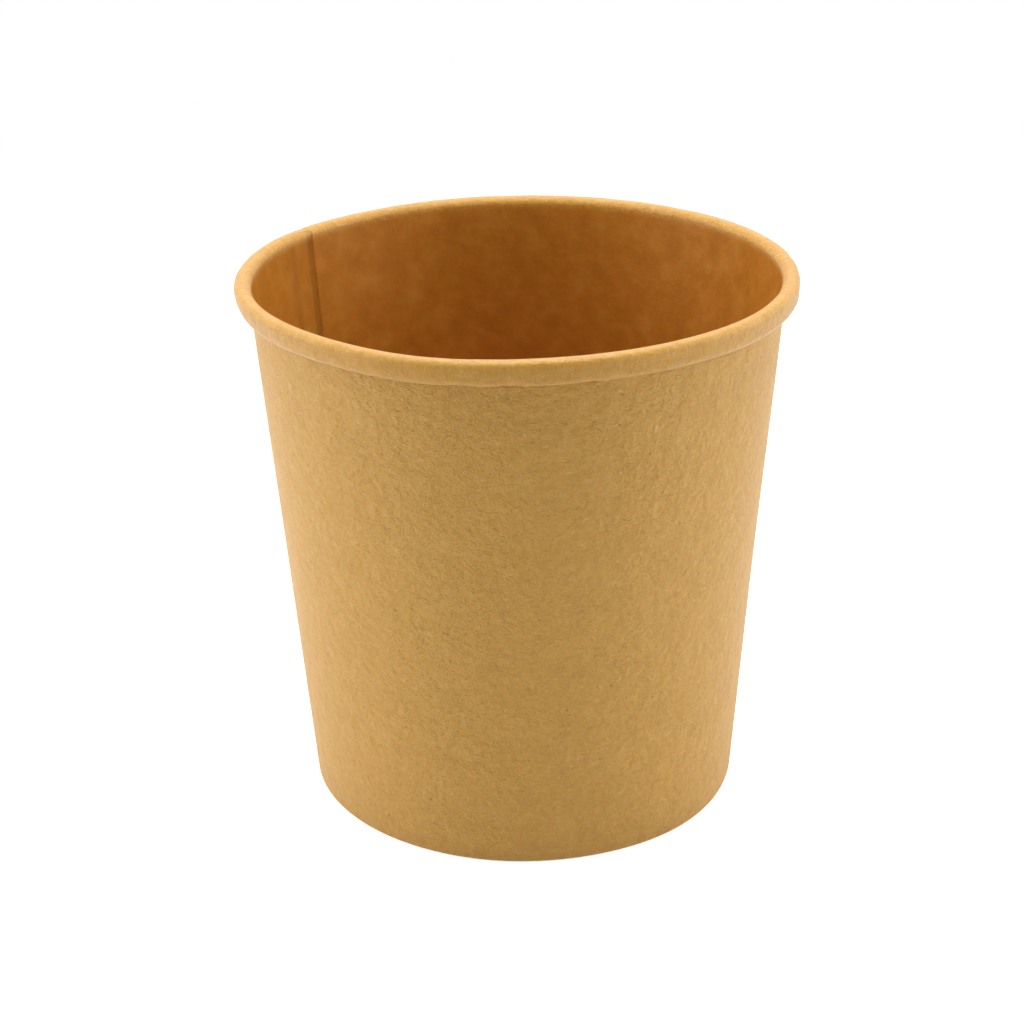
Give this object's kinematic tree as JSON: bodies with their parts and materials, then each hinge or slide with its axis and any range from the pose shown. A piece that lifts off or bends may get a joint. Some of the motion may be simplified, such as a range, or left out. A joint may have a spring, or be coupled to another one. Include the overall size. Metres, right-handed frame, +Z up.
{
  "type": "soup cup",
  "caption": "Round paper cup for soup: tapered board wall with a glued side lap, outward-rolled rim that takes a pressed-on lid, and a recessed bottom disc held in the tucked foot.",
  "frame": {"origin": "middle of the foot ring, on the surface the cup stands on", "axes": "+Z up along the cup's axis; the seam is towards 145.5 degrees from +X, and -Y is the side the picture shows"},
  "size_m": [0.098, 0.098, 0.096],
  "materials": {
    "wall_board": "natural kraft, uncoated outside, thin sealing coat inside",
    "bottom_board": "natural kraft, thin sealing coat on top"
  },
  "bodies": {
    "root": {"sidewall": "wall_board", "bottom": "bottom_board"}
  },
  "joints": []
}
